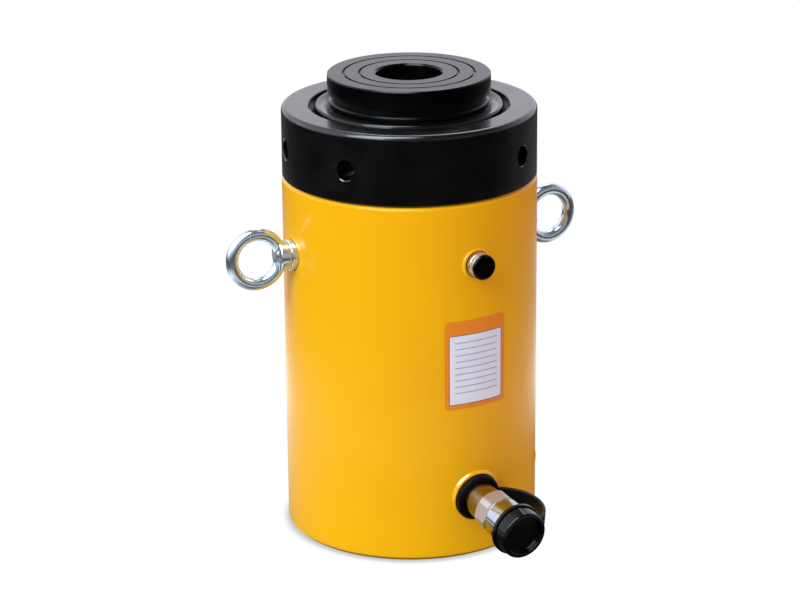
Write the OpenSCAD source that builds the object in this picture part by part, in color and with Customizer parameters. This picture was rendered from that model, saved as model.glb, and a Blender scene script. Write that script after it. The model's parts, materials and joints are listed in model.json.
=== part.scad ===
// Hollow plunger hydraulic cylinder with a lock nut and a tilting saddle.
// It is single acting: oil under the annular piston lifts the plunger, and the nut is then
// run down the plunger's thread on to the barrel, so that the load stands on steel.
// Millimetres. The origin is the centre of the foot, +Z runs up the centre hole,
// the coupler and the overflow port face -Y, and the lifting eyes stand out along X.

/* [Barrel] */
// Outside diameter of the barrel
barrel_d = 165; // [162:0.5:180]
// Height of the barrel
barrel_h = 237.5; // [236:0.5:265]
// Bore of the barrel
bore_d = 130; // [128:0.5:134]
// Edge break round the foot of the barrel
foot_chamfer = 2.6; // [1:0.1:4]
// Edge break round the head of the barrel
head_chamfer = 1.8; // [0.5:0.1:2.5]
// Lead-in at the mouth of the bore
bore_chamfer = 1.5; // [0.5:0.1:3]

/* [Base cap] */
// Height of the pressure chamber's floor above the foot
base_h = 34.5; // [34:0.5:40]
// Height of the base cap's underside above the foot
base_recess = 1; // [0.5:0.1:1.5]
// Radial step from the bore out to the base cap's screwed rim
base_step = 4; // [3:0.5:6]
// Height of the screwed rim above the foot
base_thread_h = 20; // [16:0.5:22]
// Diameter of the spanner holes in the underside
spanner_hole_d = 8; // [6:0.5:10]
// Depth of the spanner holes
spanner_hole_depth = 8; // [5:0.5:12]
// Diameter of the circle of spanner holes
spanner_circle_d = 104; // [90:1:114]
// Number of spanner holes
spanner_hole_count = 4; // [2:1:6]

/* [Centre tube] */
// Bore of the centre tube, the hole through the cylinder
tube_bore_d = 41; // [36:0.5:42]
// Outside diameter of the centre tube
tube_d = 54; // [50:0.5:55]
// Diameter of the flange at the tube's foot
tube_flange_d = 67; // [64:0.5:70]
// Thickness of that flange
tube_flange_h = 6; // [4:0.5:8]
// Height of the flange's underside above the foot
tube_flange_z = 4; // [3.9:0.1:6]
// Thickness of the snap ring under the flange
lock_ring_t = 2; // [1.5:0.1:2]
// Distance from the tube's top to the saddle's neck
tube_top_gap = 8; // [4:0.5:12]

/* [Plunger] */
// Stroke of the plunger
stroke = 150; // [100:1:150]
// Radial step from the bore in to the plunger's thread
thread_step = 1; // [1:0.5:2.5]
// Pitch of the plunger's thread
thread_pitch = 6; // [4:0.5:7]
// Length of the plain end above the thread
plain_end_h = 8; // [4:0.5:10]
// Height of the plunger's top above the nut
plunger_proud = 0.5; // [0:0.1:2]
// Height of the piston head
piston_h = 46; // [44:0.5:47]
// Height of the relieved foot below the piston's rings
piston_foot_h = 8; // [7:0.5:9]
// Radial depth of the relieved foot
piston_foot_step = 5; // [3:0.5:6]
// Thickness of the plunger's rim round the seat ring
plunger_rim = 7; // [5:0.5:7]

/* [Seals and guides] */
// Radial depth of the piston seal's groove
piston_seal_depth = 7.5; // [6:0.5:8]
// Length of the pressure seals
seal_h = 7; // [6:0.5:8]
// Length of the backup rings
backup_h = 3; // [2:0.5:3.5]
// Radial depth of the tube seal's groove
tube_seal_depth = 5.5; // [4:0.5:7]
// Length of the wear rings
wear_h = 10; // [8:0.5:11]
// Radial depth of the wear rings
wear_depth = 2.5; // [2:0.5:3]
// Length of the wiper
wiper_h = 5; // [4:0.5:6]
// Radial depth of the wiper's groove
wiper_depth = 4; // [3:0.5:5]
// Section diameter of the base cap's O-ring
base_o_ring_d = 3.4; // [2.6:0.2:4]
// Section diameter of the tube's O-ring
tube_o_ring_d = 2.9; // [2.4:0.1:3.5]

/* [Lock nut] */
// Outside diameter of the nut
nut_d = 164.5; // [160:0.5:180]
// Height of the nut
nut_h = 46; // [42:0.5:56]
// Rounding of the nut's top edge
nut_round = 3.2; // [1:0.1:5]
// Edge break round the nut's foot
nut_chamfer = 1.2; // [0.3:0.1:2]
// Radial step of the relief at the nut's mouth beyond the thread
nut_relief_step = 0.7; // [0.5:0.1:3]
// Depth of that relief
nut_relief_h = 6; // [3:0.5:10]
// Diameter of the tommy-bar holes
tommy_d = 13; // [10:0.5:16]
// Depth of the tommy-bar holes
tommy_depth = 14; // [8:0.5:15]
// Width of the countersink at a hole's mouth
tommy_mouth = 0.7; // [0.3:0.1:1.5]
// How far the holes sit below the middle of the nut
tommy_drop = 1.5; // [0:0.1:5]
// Turns of the tommy-bar holes from the front, degrees
tommy_turns = [-105, -60, 30, 120, 210];

/* [Saddle] */
// Diameter of the saddle's disc
saddle_d = 105; // [100:0.5:106]
// Thickness of the saddle's disc
saddle_t = 12.5; // [9:0.5:13]
// Height of the saddle's face above the plunger
saddle_rise = 20; // [18:0.5:24]
// Diameter of the hole through the saddle
saddle_hole_d = 42.5; // [42:0.5:44]
// Edge break at the mouth of that hole
saddle_hole_edge = 1.2; // [0.5:0.1:2]
// Height of the undercut below the disc
undercut_h = 4.5; // [3:0.1:6]
// Radial depth of the undercut
undercut_depth = 3; // [1:0.1:4]
// Radial room round the lip below the undercut
saddle_lip_gap = 2.25; // [2:0.05:4]
// Height of the lip
saddle_lip_h = 5.5; // [3:0.1:6]
// Diameters of the two grip grooves in the face
grip_groove_d = [63.5, 84];
// Width of the grip grooves
grip_groove_w = 1.7; // [0.8:0.1:2]
// Depth of the grip grooves
grip_groove_h = 1.5; // [0.5:0.1:2]
// Radius of the spherical seat
seat_r = 60; // [58:0.5:64]
// Height of the sphere's centre above the saddle's face
pivot_rise = 12; // [10:0.5:14]
// Largest tilt of the saddle, degrees
saddle_tilt = 3; // [1:0.5:3]
// Height of the seat ring
seat_h = 18.5; // [17:0.5:22]
// Diameter of the hole in the seat ring
seat_hole_d = 57; // [57:0.5:60]
// Diameter of the saddle's neck
neck_d = 49; // [47:0.5:49]
// Length of the neck below the seat ring
neck_drop = 6; // [5:0.5:8]

/* [Lifting eyes] */
// Outside diameter of the eye's ring
eye_ring_d = 41; // [36:0.5:46]
// Diameter of the bar that the ring is forged from
eye_bar_d = 8; // [6:0.5:9]
// Height of the ring's centre above the collar's underside
eye_rise = 21; // [20:0.5:28]
// Diameter of the eye's collar and its washer
eye_collar_d = 20; // [18:0.5:24]
// Thickness of the eye's collar
eye_collar_t = 7; // [4:0.1:7.5]
// Thickness of the washer under the collar
eye_washer_t = 4.4; // [2:0.1:6]
// Diameter of the eye's screwed shank
eye_shank_d = 10; // [8:0.5:12]
// Wall left between the bottom of the eye's hole and the bore
eye_wall = 4.5; // [3:0.5:7]
// Distance of the eyes below the barrel's head
eye_drop = 45; // [30:0.5:60]
// Turn of the left eye from the front, degrees
left_eye_turn = -97; // [-110:1:-70]
// Turn of the right eye from the front, degrees
right_eye_turn = 90; // [70:1:110]

/* [Overflow port] */
// Diameter of the fitting's two bands
overflow_collar_d = 16; // [15:0.2:18]
// Height of each band
overflow_band_h = 3.1; // [2:0.1:4]
// Width of the groove between the bands
overflow_groove_h = 0.4; // [0.3:0.1:1.5]
// Diameter of that groove
overflow_groove_d = 15; // [13:0.5:15]
// Diameter of the mouth that holds the cap's shank
overflow_mouth_d = 9; // [8:0.5:10]
// Depth of the mouth
overflow_mouth_h = 5; // [4:0.1:6]
// Diameter of the fitting's screwed shank
overflow_shank_d = 10; // [8:0.5:11]
// Wall left between the bottom of the fitting's hole and the bore
overflow_wall = 6.8; // [4:0.1:8]
// Diameter of the weep hole
weep_d = 5; // [3:0.5:5]
// Diameter of the cap's head
overflow_cap_d = 16.4; // [14:0.2:17]
// Thickness of the cap's head
overflow_cap_t = 2.2; // [1.5:0.1:3]
// Rounding of the cap's head
overflow_cap_round = 1.2; // [0.5:0.1:1.4]
// Length of the cap's shank
overflow_cap_l = 4; // [3:0.1:4]

/* [Coupler] */
// Height of the coupler's port above the foot
port_z = 40.6; // [39:0.1:44]
// Angle by which the port points downwards, degrees
port_tilt = 7.3; // [0:0.1:8]
// Diameter of the spot face round the port
spot_d = 31.6; // [31.4:0.1:34]
// Width of the raised rim round the coupler's and the overflow port's spot faces
port_rim_w = 1.3; // [1:0.1:2]
// Height of that rim above the spot face
port_rim_h = 1.4; // [0.8:0.1:2]
// Diameter of the nipple's screwed end
port_thread_d = 16.5; // [14:0.5:18]
// Wall left between the bottom of the port and the bore
port_wall = 2.4; // [2:0.1:4]
// Diameter of the oil passages
passage_d = 6; // [4:0.5:7]
// Diameter of the nipple's neck
nipple_d = 23; // [20:0.1:23.5]
// Length of the nipple's neck
nipple_l = 18.7; // [16:0.1:26]
// Diameter of the nipple's end in the coupler
nipple_end_d = 16; // [14:0.5:17]
// Length of the nipple's end in the coupler
nipple_end_l = 8.5; // [6:0.5:10]
// Width across the coupler's hexagon
hex_af = 25.5; // [24:0.5:28]
// Diameter to which the hexagon's corners are turned
hex_corner_d = 29; // [26.5:0.1:29.4]
// Length of the hexagon
hex_l = 12; // [10.5:0.1:14]
// Diameter of the turning sleeve
sleeve_d = 27; // [25:0.1:28]
// Length of the turning sleeve
sleeve_l = 13.9; // [11:0.1:16]
// Diameter of the journal under the sleeve
journal_d = 23; // [20:0.5:23]
// Length of the coupler's nose
nose_l = 6.2; // [6:0.1:6.4]
// Diameter of the coupler's nose
nose_d = 22; // [20:0.5:22]
// Diameter of the chamber that holds the poppet
chamber_d = 13; // [11:0.5:14]
// Diameter of the poppet's seat
poppet_seat_d = 9; // [8:0.5:9.5]
// Length of the poppet's guide
poppet_guide_l = 6; // [5:0.5:7]
// Length of the poppet's cone
poppet_cone_l = 2.5; // [2:0.5:3]
// Diameter of the poppet spring's wire
spring_wire_d = 1.2; // [0.8:0.1:1.4]
// Number of turns of the spring
spring_turns = 4; // [3:1:5]

/* [Dust cap] */
// Diameter of the cap's rear rim
cap_rim_d = 34.4; // [33:0.1:36]
// Length of the cap's rear rim
cap_rim_l = 3; // [2:0.1:5]
// Diameter of the cap's wall at the rim
cap_wall_d = 32; // [30:0.1:33]
// Diameter of the cap's front
cap_front_d = 31.2; // [30:0.1:32]
// Length of the cap
cap_l = 12.2; // [12.1:0.1:16]
// Rounding of the cap's front edge
cap_round = 1.6; // [0.5:0.1:2.5]
// Diameter of the dish in the cap's front
cap_dish_d = 25; // [22:0.5:26]
// Depth of the dish
cap_dish_h = 3.5; // [1:0.1:3.5]
// Inside diameter of the cap
cap_bore_d = 24.4; // [24:0.1:25]
// Thickness of the cap's end wall
cap_floor_t = 2.4; // [1.5:0.1:2.5]
// Outside diameter of the strap's loop
loop_d = 30.8; // [28:0.1:31]
// Thickness of the strap's loop
loop_t = 4.7; // [3:0.1:6]
// Width of the strap
strap_w = 10; // [8:0.5:12]
// Thickness of the strap
strap_t = 2.4; // [1.5:0.1:3]
// How far the strap bows out beyond the loop
strap_bow = 15; // [12:0.5:18]
// How far the strap hangs below the coupler's axis
strap_drop = 2; // [0:0.5:4]

/* [Port plug] */
// Diameter of the plug
plug_d = 10; // [8:0.5:12]
// Wall left between the bottom of the plug's hole and the bore
plug_wall = 5.5; // [4:0.5:7]
// How far the plug stands out
plug_proud = 0.6; // [0.3:0.1:3]
// Width across the plug's hexagon socket
plug_socket_af = 5; // [4:0.5:6]
// Depth of the socket
plug_socket_depth = 4; // [2:0.5:6]
// Height of the plug above the foot
plug_z = 45.5; // [44:0.5:60]
// Turn of the plug from the front, degrees
plug_turn = 48.5; // [40:0.5:60]

/* [Clearances] */
// Radial running clearance between pieces that move
run_gap = 0.05; // [0.03:0.01:0.08]
// Gap between pieces that are fixed together
fit_gap = 0.05; // [0.02:0.01:0.1]
// Gap round a loose flexible or retained piece
loose_gap = 0.3; // [0.2:0.05:0.5]
// Gap between the saddle and its spherical seat
seat_gap = 0.1; // [0.05:0.05:0.2]

/* [Hidden] */
$fn = 72;

// Edge breaks of the small pieces, and how far a cut runs past a face
edge = 0.8;
fine_edge = 0.5;
over = 1;

// Radii of the main pieces
barrel_r = barrel_d / 2;
bore_r = bore_d / 2;
tube_r = tube_d / 2;
base_thread_d = bore_d + 2 * base_step;
thread_d = bore_d - 2 * thread_step;
thread_r = thread_d / 2 - thread_pitch / 4;
thread_root_gap = 0.5;
thread_root_r = thread_d / 2 - thread_pitch / 2 - thread_root_gap;
recess_d = 2 * (thread_root_r - plunger_rim);
saddle_lip_d = recess_d - 2 * saddle_lip_gap;
nut_relief_r = thread_d / 2 + nut_relief_step;
piston_r = bore_r - 2 * run_gap;
guide_r = tube_r + run_gap;

// Heights along the axis, from the foot up
chamber_z = base_h;
foot_land = 2.4;
ring_land = 4;
piston_z = chamber_z + 2 * fit_gap;
seal_z = piston_z + piston_foot_h + foot_land;
backup_z = seal_z + seal_h;
wear_z = backup_z + backup_h + ring_land;
wiper_z = wear_z + wear_h + ring_land;
piston_top = piston_z + piston_h;
passage_z = chamber_z + passage_d / 2 + fine_edge;
nut_z = barrel_h + run_gap;
nut_top = nut_z + nut_h;
tommy_z = nut_z + nut_h / 2 - tommy_drop;
plunger_top = nut_top + plunger_proud;
saddle_top = plunger_top + saddle_rise;
disc_z = saddle_top - saddle_t;
lip_top = disc_z - undercut_h;
lip_z = lip_top - saddle_lip_h;
pivot_z = saddle_top + pivot_rise;
lip_swing = saddle_lip_d / 2 * sin(saddle_tilt);
lip_room = 1.3;
seat_top = lip_z - lip_swing - lip_room;
seat_z = seat_top - seat_h;
neck_z = seat_z - neck_drop;
neck_ring_top = seat_z - seat_hole_d / 2 * sin(saddle_tilt) - loose_gap;
tube_top = neck_z - tube_top_gap;
o_ring_z = (base_thread_h + base_h) / 2;
lock_ring_z = tube_flange_z - lock_ring_t - fit_gap;
overflow_z = seal_z + stroke + weep_d / 2;
eye_z = barrel_h - eye_drop;

// Retaining rings: how deep they sit in their grooves, and how far they stand out
lock_ring_grip = 2;
neck_ring_grip = 1.5;
neck_ring_t = 2;
neck_ring_r = seat_hole_d / 2 + neck_ring_grip;
neck_room = 5;
snap_ring_grip = 0.8;
snap_ring_t = 1;

// Flat faces cut in the barrel's side, as distances from the axis
spot_depth = 0.3;
function chord_r(d) = sqrt(pow(barrel_r, 2) - pow(d / 2, 2)) - spot_depth;
port_face_r = chord_r(spot_d);
eye_spot_d = eye_collar_d + 1;
eye_face_r = chord_r(eye_spot_d);
overflow_spot_d = overflow_collar_d + 2;
overflow_face_r = chord_r(overflow_spot_d);

// Blind holes in the barrel's side: the room beyond each shank, and the shanks' lengths
blind_gap = 1;
port_runout = 2.5;
port_thread_l = port_face_r - bore_r - port_runout - port_wall;
eye_shank_l = eye_face_r - bore_r - blind_gap - eye_wall;
overflow_shank_l = overflow_face_r - bore_r - blind_gap - overflow_wall;
plug_l = barrel_r - bore_r - blind_gap - plug_wall;

// The centre of a lifting eye's ring, outwards from its spot face
eye_reach = eye_washer_t + eye_rise;

// Stations along the overflow port, outwards from its spot face
overflow_seal_t = 1.2;
overflow_groove_s = overflow_seal_t + overflow_band_h;
overflow_band_s = overflow_groove_s + overflow_groove_h;
overflow_top = overflow_band_s + overflow_band_h;

// Stations along the coupler, outwards from its spot face
port_seal_t = 1.6;
hex_s = port_seal_t + nipple_l;
journal_s = hex_s + hex_l;
nose_s = journal_s + sleeve_l + 2 * loose_gap;
nose_end = nose_s + nose_l;
snap_ring_s = nose_s;
cap_s = nose_s + loose_gap;
cap_end = cap_s + cap_l;
socket_l = 4;
seat_s = nose_end - socket_l;
poppet_s = seat_s - poppet_cone_l - poppet_guide_l;
chamber_s = hex_s + nipple_end_l + fit_gap;

// The strap is one arc from the loop's edge to the cap's rear rim
strap_low_s = loop_t / 2;
strap_high_s = cap_s + cap_rim_l / 2;
strap_chord = (strap_high_s - strap_low_s) / 2;
strap_root = max(loop_d, cap_rim_d) / 2 - 1;
strap_r = (pow(strap_chord, 2) + pow(strap_bow, 2)) / (2 * strap_bow);
strap_centre_x = strap_root + strap_bow - strap_r;
strap_start_x = loop_d / 2 + strap_t / 2 + loose_gap;
strap_end_x = cap_rim_d / 2 + strap_t / 2 + loose_gap;

// A ring with a plain rectangular section
module ring(r_in, r_out, low, high) {
    rotate_extrude() translate([r_in, low]) square([r_out - r_in, high - low]);
}

// A ring with broken edges on its outside
module broken_ring(r_in, r_out, low, high, edge = edge) {
    rotate_extrude() polygon([[r_in, low], [r_out - edge, low], [r_out, low + edge],
        [r_out, high - edge], [r_out - edge, high], [r_in, high]]);
}

// A groove for an O-ring, wider than the ring's section so that the ring can spread
module o_ring_groove(r_in, r_out, section_d) {
    half = section_d * 0.6;
    ring(r_in, r_out, o_ring_z - half, o_ring_z + half);
}

// An O-ring lying round the main axis
module o_ring(r_mid, section_d, z) {
    translate([0, 0, z]) rotate_extrude() translate([r_mid, 0]) circle(d = section_d);
}

// Stands a piece on the barrel's side, with its own Z pointing outwards from radius r
module on_side(turn, z, r, tilt = 0) {
    rotate([0, 0, turn]) translate([0, -r, z]) rotate([90 + tilt, 0, 0]) children();
}

module on_port() {
    on_side(0, port_z, port_face_r, port_tilt) children();
}

// A flat face and a blind hole in the barrel's side
module spot_and_hole(spot, hole, depth) {
    cylinder(d = spot, h = barrel_r);
    translate([0, 0, -depth]) cylinder(d = hole, h = depth + over);
}

// A rim that stands up round a spot face
module spot_rim(spot) {
    root = 4;
    broken_ring(0, spot / 2 + port_rim_w, -root, port_rim_h, fine_edge);
}

module cylinder_barrel() {
    color("gold") difference() {
        union() {
            rotate_extrude() polygon([[base_thread_d / 2, 0], [barrel_r - foot_chamfer, 0],
                [barrel_r, foot_chamfer], [barrel_r, barrel_h - head_chamfer],
                [barrel_r - head_chamfer, barrel_h], [bore_r + bore_chamfer, barrel_h],
                [bore_r, barrel_h - bore_chamfer], [bore_r, base_thread_h],
                [base_thread_d / 2, base_thread_h]]);
            on_port() spot_rim(spot_d);
            on_side(0, overflow_z, overflow_face_r) spot_rim(overflow_spot_d);
        }
        on_port() spot_and_hole(spot_d, port_thread_d + 2 * fit_gap, port_thread_l + port_runout);
        on_side(0, passage_z, bore_r - over)
            cylinder(d = passage_d, h = port_face_r - bore_r - port_thread_l + port_runout);
        on_side(0, overflow_z, overflow_face_r)
            spot_and_hole(overflow_spot_d, overflow_shank_d + 2 * fit_gap, overflow_shank_l + blind_gap);
        on_side(0, overflow_z, bore_r - over)
            cylinder(d = weep_d, h = overflow_face_r - bore_r - overflow_shank_l + 2 * over);
        for (turn = [left_eye_turn, right_eye_turn])
            on_side(turn, eye_z, eye_face_r)
                spot_and_hole(eye_spot_d, eye_shank_d + 2 * fit_gap, eye_shank_l + blind_gap);
        on_side(plug_turn, plug_z, barrel_r) translate([0, 0, -plug_l - blind_gap])
            cylinder(d = plug_d + 2 * fit_gap, h = plug_l + blind_gap + over);
    }
}

module base_cap() {
    rim_r = base_thread_d / 2 - fit_gap;
    rim_edge = 2;
    spigot_r = bore_r - fit_gap;
    hole_r = tube_r + fit_gap;
    flange_room = tube_flange_z + tube_flange_h + fit_gap;
    color("dimgray") difference() {
        rotate_extrude() polygon([[hole_r, base_recess], [rim_r - rim_edge, base_recess],
            [rim_r, base_recess + rim_edge], [rim_r, base_thread_h - fit_gap],
            [spigot_r, base_thread_h - fit_gap], [spigot_r, chamber_z], [hole_r, chamber_z]]);
        // counterbore for the tube's flange and groove for its snap ring
        translate([0, 0, -over]) cylinder(d = tube_flange_d + 2 * fit_gap, h = flange_room + over);
        ring(tube_flange_d / 2 - over, tube_flange_d / 2 + lock_ring_grip + fine_edge,
            lock_ring_z - fit_gap, tube_flange_z);
        o_ring_groove(bore_r - base_o_ring_d - 2 * fit_gap, bore_r + over, base_o_ring_d);
        o_ring_groove(tube_r - over, tube_r + tube_o_ring_d + 2 * fit_gap, tube_o_ring_d);
        for (i = [0 : spanner_hole_count - 1])
            rotate([0, 0, i * 360 / spanner_hole_count])
                translate([spanner_circle_d / 2, 0, base_recess - over])
                    cylinder(d = spanner_hole_d, h = spanner_hole_depth + over);
    }
}

module base_cap_seal() {
    color("black") o_ring(bore_r - fit_gap - base_o_ring_d / 2, base_o_ring_d, o_ring_z);
}

module centre_tube() {
    flange_top = tube_flange_z + tube_flange_h;
    flange_r = tube_flange_d / 2;
    lead = 2;
    color("silver") rotate_extrude() polygon([[tube_bore_d / 2, 0], [tube_r - edge, 0], [tube_r, edge],
        [tube_r, tube_flange_z], [flange_r, tube_flange_z], [flange_r, flange_top], [tube_r, flange_top],
        [tube_r, tube_top - lead], [tube_r - lead, tube_top], [tube_bore_d / 2, tube_top]]);
}

module centre_tube_seal() {
    color("black") o_ring(tube_r + fit_gap + tube_o_ring_d / 2, tube_o_ring_d, o_ring_z);
}

module centre_tube_lock_ring() {
    color("gray") ring(tube_r + lock_ring_grip, tube_flange_d / 2 + lock_ring_grip, lock_ring_z,
        lock_ring_z + lock_ring_t);
}

module plunger() {
    step_r = piston_r - piston_foot_step;
    step_z = piston_z + piston_foot_h;
    thread_end = plunger_top - plain_end_h;
    thread_lead = 1.5;
    relief_r = tube_r + 2;
    neck_room_r = neck_ring_r + neck_room;
    neck_room_z = neck_z - neck_room;
    color("darkslategray") difference() {
        rotate_extrude() polygon([[guide_r, piston_z], [step_r, piston_z], [step_r, step_z],
            [piston_r, step_z], [piston_r, piston_top - edge], [piston_r - edge, piston_top],
            [thread_r, piston_top], [thread_r, thread_end - thread_lead], [thread_root_r, thread_end],
            [thread_root_r, plunger_top - edge], [thread_root_r - edge, plunger_top],
            [recess_d / 2, plunger_top], [recess_d / 2, seat_z], [neck_room_r, seat_z],
            [neck_room_r, neck_room_z], [relief_r, neck_room_z], [relief_r, piston_top],
            [guide_r, piston_top]]);
        // outer grooves for the pressure seal with its backup ring, and for the wear ring
        ring(piston_r - piston_seal_depth, bore_r + over, seal_z, backup_z + backup_h);
        ring(piston_r - wear_depth, bore_r + over, wear_z, wear_z + wear_h);
        // inner grooves for the tube's seal with its backup ring, its wear ring and its wiper
        ring(tube_r - over, guide_r + tube_seal_depth, seal_z, backup_z + backup_h);
        ring(tube_r - over, guide_r + wear_depth, wear_z, wear_z + wear_h);
        ring(tube_r - over, guide_r + wiper_depth, wiper_z, wiper_z + wiper_h);
    }
}

// A pressure seal with a V-groove between its two lips on the side of the oil
module lip_seal(r_in, r_out, low, high) {
    r_mid = (r_in + r_out) / 2;
    vee = 1.2;
    rotate_extrude() polygon([[r_in, low], [r_mid - vee, low], [r_mid, low + (high - low) / 2],
        [r_mid + vee, low], [r_out, low], [r_out, high], [r_in, high]]);
}

module piston_seal() {
    color("teal") lip_seal(piston_r - piston_seal_depth + fit_gap, bore_r - run_gap, seal_z + fit_gap,
        backup_z - fit_gap);
}

module piston_backup_ring() {
    color("ivory") ring(piston_r - piston_seal_depth + fit_gap, bore_r - run_gap, backup_z + fit_gap,
        backup_z + backup_h - fit_gap);
}

module piston_wear_ring() {
    color("saddlebrown") ring(piston_r - wear_depth + fit_gap, bore_r - run_gap, wear_z + fit_gap,
        wear_z + wear_h - fit_gap);
}

module tube_seal() {
    color("teal") lip_seal(tube_r + run_gap, guide_r + tube_seal_depth - fit_gap, seal_z + fit_gap,
        backup_z - fit_gap);
}

module tube_backup_ring() {
    color("ivory") ring(tube_r + run_gap, guide_r + tube_seal_depth - fit_gap, backup_z + fit_gap,
        backup_z + backup_h - fit_gap);
}

module tube_wear_ring() {
    color("saddlebrown") ring(tube_r + run_gap, guide_r + wear_depth - fit_gap, wear_z + fit_gap,
        wear_z + wear_h - fit_gap);
}

module tube_wiper() {
    heel_r = guide_r + wiper_depth / 4;
    back_r = guide_r + wiper_depth - fit_gap;
    top = wiper_z + wiper_h - fit_gap;
    color("firebrick") rotate_extrude() polygon([[heel_r, wiper_z + fit_gap], [back_r, wiper_z + fit_gap],
        [back_r, top], [tube_r + run_gap, top], [tube_r + run_gap, top - wiper_h / 4]]);
}

module lock_nut() {
    bore_wall_r = thread_r + run_gap;
    nut_r = nut_d / 2;
    color("black") difference() {
        rotate_extrude() union() {
            polygon([[bore_wall_r + nut_chamfer, nut_z], [nut_r - nut_chamfer, nut_z],
                [nut_r, nut_z + nut_chamfer], [nut_r, nut_top - nut_round], [nut_r - nut_round, nut_top],
                [nut_relief_r + fine_edge, nut_top], [nut_relief_r, nut_top - fine_edge],
                [nut_relief_r, nut_top - nut_relief_h], [bore_wall_r, nut_top - nut_relief_h],
                [bore_wall_r, nut_z + nut_chamfer]]);
            translate([nut_r - nut_round, nut_top - nut_round]) circle(r = nut_round);
        }
        for (turn = tommy_turns) on_side(turn, tommy_z, nut_r - tommy_depth) {
            cylinder(d = tommy_d, h = tommy_depth + over);
            translate([0, 0, tommy_depth - tommy_mouth])
                cylinder(d1 = tommy_d, d2 = tommy_d + 2 * (tommy_mouth + over), h = tommy_mouth + over);
        }
    }
}

module saddle_seat() {
    color("gray") difference() {
        broken_ring(seat_hole_d / 2, recess_d / 2 - fit_gap, seat_z + fit_gap, seat_top, fine_edge);
        translate([0, 0, pivot_z]) sphere(r = seat_r);
    }
}

module saddle() {
    hole_r = saddle_hole_d / 2;
    lip_r = saddle_lip_d / 2;
    waist_r = saddle_d / 2 - undercut_depth;
    disc_r = saddle_d / 2;
    neck_r = neck_d / 2;
    color("black") difference() {
        rotate_extrude() union() {
            // disc, undercut and lip
            polygon([[hole_r, lip_z], [lip_r - edge, lip_z], [lip_r, lip_z + edge], [lip_r, lip_top - edge],
                [lip_r - edge, lip_top], [waist_r, lip_top], [waist_r, disc_z], [disc_r - edge, disc_z],
                [disc_r, disc_z + edge], [disc_r, saddle_top - edge], [disc_r - edge, saddle_top],
                [hole_r + saddle_hole_edge, saddle_top], [hole_r, saddle_top - saddle_hole_edge]]);
            // spherical underside
            intersection() {
                translate([hole_r, neck_z]) square([lip_r - hole_r, lip_z + edge - neck_z]);
                translate([0, pivot_z]) circle(r = seat_r - seat_gap);
            }
            // neck through the seat ring
            translate([hole_r, neck_z]) square([neck_r - hole_r, lip_z - neck_z]);
        }
        for (d = grip_groove_d)
            ring((d - grip_groove_w) / 2, (d + grip_groove_w) / 2, saddle_top - grip_groove_h,
                saddle_top + over);
        ring(neck_r - neck_ring_grip, neck_r + over, neck_ring_top - neck_ring_t - fit_gap,
            neck_ring_top + fit_gap);
    }
}

module saddle_retaining_ring() {
    color("gray") ring(neck_d / 2 - neck_ring_grip + fit_gap, neck_ring_r, neck_ring_top - neck_ring_t,
        neck_ring_top);
}

// One forged eye bolt, standing on its washer
module lifting_eye(turn) {
    collar_top = eye_washer_t + eye_collar_t;
    ring_r = (eye_ring_d - eye_bar_d) / 2;
    neck_top = eye_reach - ring_r + eye_bar_d / 2;
    color("silver") on_side(turn, eye_z, eye_face_r) union() {
        translate([0, 0, -eye_shank_l]) cylinder(d = eye_shank_d, h = eye_shank_l + eye_washer_t + over);
        broken_ring(0, eye_collar_d / 2, eye_washer_t, collar_top);
        // the ring's bar runs down into the collar, and the neck closes the corner between them
        translate([0, 0, collar_top - fine_edge])
            cylinder(d1 = eye_collar_d * 0.85, d2 = eye_bar_d, h = neck_top - collar_top + fine_edge);
        translate([0, 0, eye_reach]) rotate([0, 90, 0])
            rotate_extrude() translate([ring_r, 0]) circle(d = eye_bar_d);
    }
}

module left_lifting_eye() {
    lifting_eye(left_eye_turn);
}

module right_lifting_eye() {
    lifting_eye(right_eye_turn);
}

module lifting_eye_washers() {
    color("silver") for (turn = [left_eye_turn, right_eye_turn])
        on_side(turn, eye_z, eye_face_r)
            broken_ring(eye_shank_d / 2 + fit_gap, eye_collar_d / 2, 0, eye_washer_t, fine_edge);
}

// Two bands with a groove between them, and a mouth for the cap's shank
module overflow_fitting() {
    hole_r = weep_d / 2;
    shank_r = overflow_shank_d / 2;
    band_r = overflow_collar_d / 2;
    groove_r = overflow_groove_d / 2;
    mouth_r = overflow_mouth_d / 2;
    mouth_s = overflow_top - overflow_mouth_h;
    color("silver") on_side(0, overflow_z, overflow_face_r) rotate_extrude() polygon([
        [hole_r, -overflow_shank_l], [shank_r, -overflow_shank_l], [shank_r, overflow_seal_t],
        [band_r - fine_edge, overflow_seal_t], [band_r, overflow_seal_t + fine_edge],
        [band_r, overflow_groove_s - fine_edge], [band_r - fine_edge, overflow_groove_s],
        [groove_r, overflow_groove_s], [groove_r, overflow_band_s],
        [band_r - fine_edge, overflow_band_s], [band_r, overflow_band_s + fine_edge],
        [band_r, overflow_top - fine_edge], [band_r - fine_edge, overflow_top],
        [mouth_r, overflow_top], [mouth_r, mouth_s], [hole_r, mouth_s]]);
}

module overflow_seal() {
    color("dimgray") on_side(0, overflow_z, overflow_face_r)
        ring(overflow_shank_d / 2 + fit_gap, overflow_collar_d / 2 - fine_edge, 0, overflow_seal_t);
}

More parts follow.
